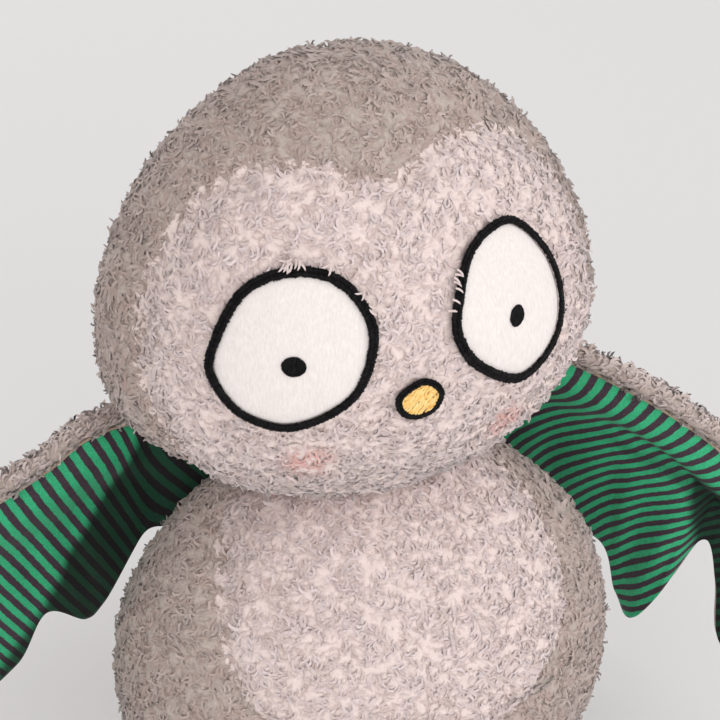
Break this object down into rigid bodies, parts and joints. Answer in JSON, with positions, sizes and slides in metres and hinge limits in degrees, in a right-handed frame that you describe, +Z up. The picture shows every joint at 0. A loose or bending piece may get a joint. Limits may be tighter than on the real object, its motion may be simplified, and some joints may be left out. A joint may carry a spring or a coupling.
{
  "type": "plush owl with bat wings",
  "caption": "Seated plush owl in curly grey pile, with large embroidered eyes, a small beak, a pale belly and scalloped wings lined with striped cloth.",
  "frame": {"origin": "middle of the flat base panel that the toy sits on", "axes": "+Z up, the face towards -Y, +X towards the viewer's right"},
  "size_m": [0.3509, 0.1361, 0.302],
  "materials": {
    "taupe_plush": "curly plush pile, taupe grey",
    "pale_plush": "curly plush pile, pale pinkish grey",
    "eye_cloth": "short napped velour, off-white",
    "black_thread": "satin stitch in glossy black thread",
    "beak_thread": "satin stitch in glossy yellow-orange thread",
    "striped_velour": "short velour with green and charcoal stripes",
    "bag_cloth": "plain woven cotton, matte",
    "fibre_fill": "loose polyester fibre, matte white"
  },
  "bodies": {
    "body": {"back_panel": "taupe_plush", "belly_panel": "pale_plush", "base_panel": "taupe_plush", "body_stuffing": "fibre_fill", "pellet_bag": "bag_cloth"},
    "head": {"crown_panel": "taupe_plush", "face_panel": "pale_plush", "head_stuffing": "fibre_fill", "eye_white_left": "eye_cloth", "eye_white_right": "eye_cloth", "eye_border_left": "black_thread", "eye_border_right": "black_thread", "pupil_left": "black_thread", "pupil_right": "black_thread", "beak_fill": "beak_thread", "beak_border": "black_thread"},
    "wing_left": {"wing_fur_left": "taupe_plush", "wing_lining_left": "striped_velour", "wing_batting_left": "fibre_fill"},
    "wing_right": {"wing_fur_right": "taupe_plush", "wing_lining_right": "striped_velour", "wing_batting_right": "fibre_fill"}
  },
  "joints": [
    {"name": "head_turn", "type": "hinge", "parent": "body", "child": "head", "pos_m": [0, -0.0025, 0.1475], "axis": [0, 0, 1], "range_deg": [-15, 15], "stiffness_Nm_per_rad": 0.3},
    {"name": "wing_left_swing", "type": "hinge", "parent": "body", "child": "wing_left", "pos_m": [-0.0409, 0.0367, 0.1375], "axis": [-0.4286, 0.3686, -0.8249], "range_deg": [-20, 20], "stiffness_Nm_per_rad": 0.05},
    {"name": "wing_right_swing", "type": "hinge", "parent": "body", "child": "wing_right", "pos_m": [0.0409, 0.0367, 0.1375], "axis": [-0.4286, -0.3686, 0.8249], "range_deg": [-10, 20], "stiffness_Nm_per_rad": 0.05}
  ]
}
